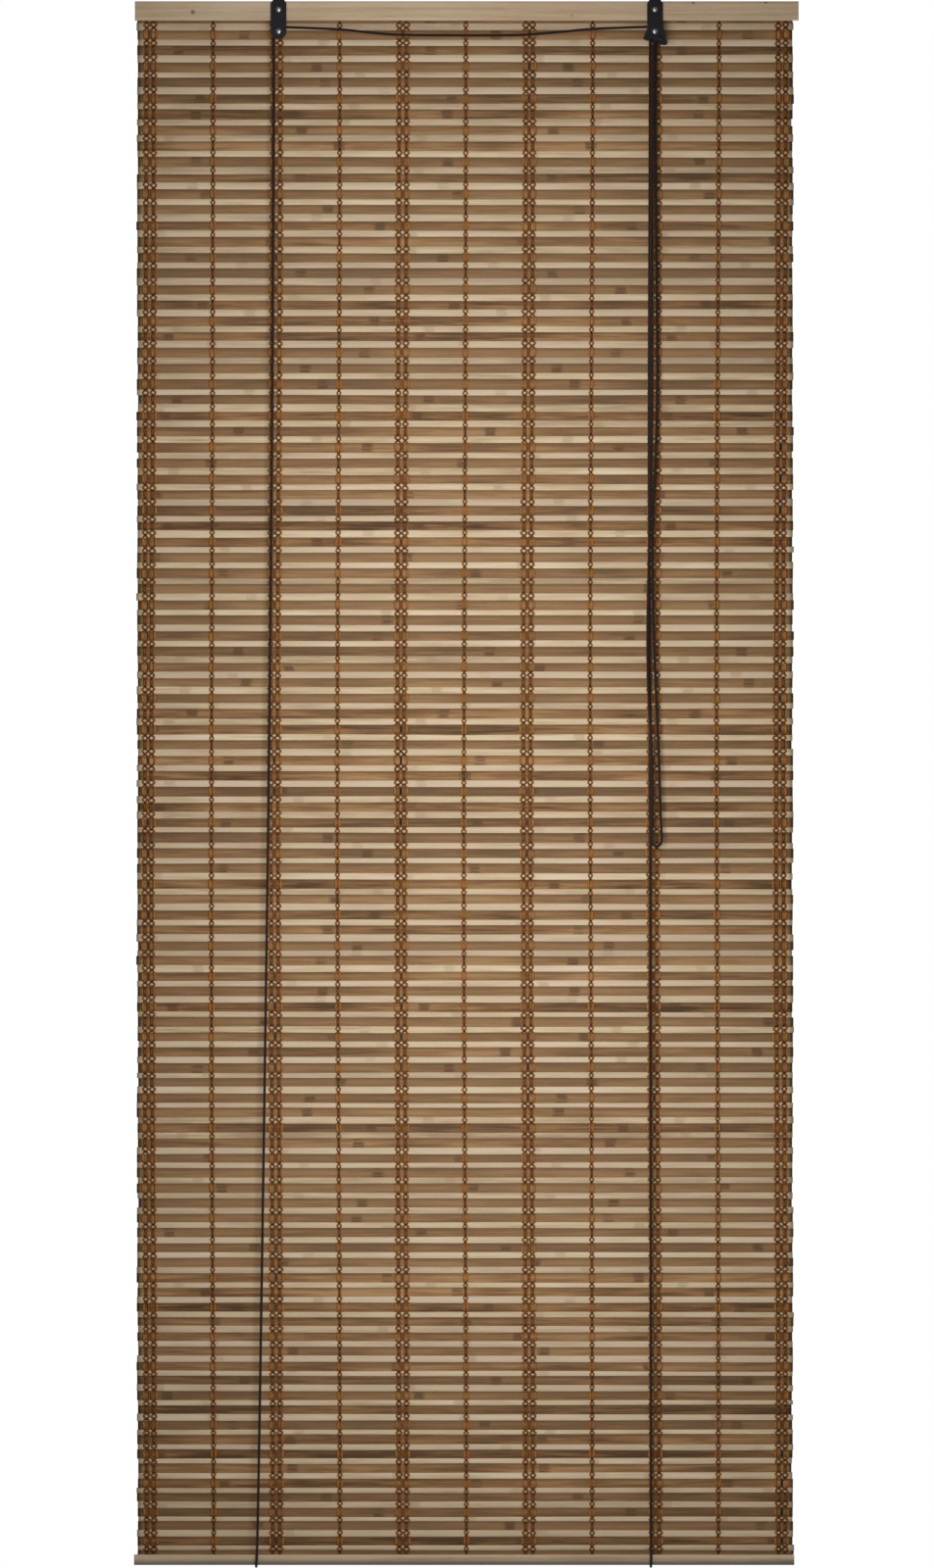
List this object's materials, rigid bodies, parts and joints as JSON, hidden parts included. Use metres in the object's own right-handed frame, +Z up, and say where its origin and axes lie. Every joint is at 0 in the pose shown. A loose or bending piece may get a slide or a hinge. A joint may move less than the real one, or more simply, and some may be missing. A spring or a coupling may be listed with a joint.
{
  "type": "bamboo roll-up blind",
  "caption": "Hanging blind of pale and dark bamboo slats stitched by warp yarn between two battens, rolled up by a cord over pulley brackets with a cord lock.",
  "frame": {"origin": "midway between the two hanging holes, on the back face of the brackets' front plates", "axes": "+Z up along the hanging mat, -Y towards the room, +X to the right as seen from the room"},
  "size_m": [0.765, 0.0241, 1.819],
  "materials": {
    "batten_wood": "planed, matt",
    "slat_bamboo": "stained, satin",
    "warp_yarn": "twisted yarn",
    "black_metal": "satin black",
    "bright_steel": "bright",
    "cord_braid": "braided"
  },
  "bodies": {
    "blind": {"head_batten": "batten_wood", "bottom_batten": "batten_wood", "slat_mat": "slat_bamboo", "warp_wide_1": "warp_yarn", "warp_wide_2": "warp_yarn", "warp_wide_3": "warp_yarn", "warp_wide_4": "warp_yarn", "warp_wide_5": "warp_yarn", "warp_wide_6": "warp_yarn", "warp_narrow_1": "warp_yarn", "warp_narrow_2": "warp_yarn", "warp_narrow_3": "warp_yarn", "warp_narrow_4": "warp_yarn", "warp_narrow_5": "warp_yarn", "left_front_plate": "black_metal", "left_rear_plate": "black_metal", "right_front_plate": "black_metal", "right_rear_plate": "black_metal", "left_axle": "bright_steel", "left_screw": "bright_steel", "right_axle": "bright_steel", "right_screw": "bright_steel", "head_staples": "bright_steel", "bottom_staples": "bright_steel", "left_cord_anchor": "bright_steel", "right_cord_anchor": "bright_steel", "left_knot": "cord_braid", "right_knot": "cord_braid", "lift_cord": "cord_braid"},
    "left_sheave": {"left_sheave": "black_metal"},
    "right_front_sheave": {"right_front_sheave": "black_metal"},
    "right_rear_sheave": {"right_rear_sheave": "black_metal"},
    "lock_roller": {"lock_roller": "bright_steel"}
  },
  "joints": [
    {"name": "left_sheave_spin", "type": "hinge", "parent": "blind", "child": "left_sheave", "pos_m": [-0.2165, 0.0022, -0.0435], "axis": [0, 1, 0], "continuous": true},
    {"name": "right_front_sheave_spin", "type": "hinge", "parent": "blind", "child": "right_front_sheave", "pos_m": [0.2165, 0.0022, -0.0435], "axis": [0, 1, 0], "continuous": true},
    {"name": "right_rear_sheave_spin", "type": "hinge", "parent": "blind", "child": "right_rear_sheave", "pos_m": [0.2165, 0.0064, -0.0435], "axis": [0, 1, 0], "continuous": true},
    {"name": "lock_roller_slide", "type": "slide", "parent": "blind", "child": "lock_roller", "axis": [0.3827, 0, 0.9239], "range_m": [0, 0.0036]}
  ],
  "couplings": [
    {"joint": "left_sheave_spin", "follows": "right_front_sheave_spin", "ratio": 1},
    {"joint": "right_rear_sheave_spin", "follows": "right_front_sheave_spin", "ratio": 1}
  ]
}
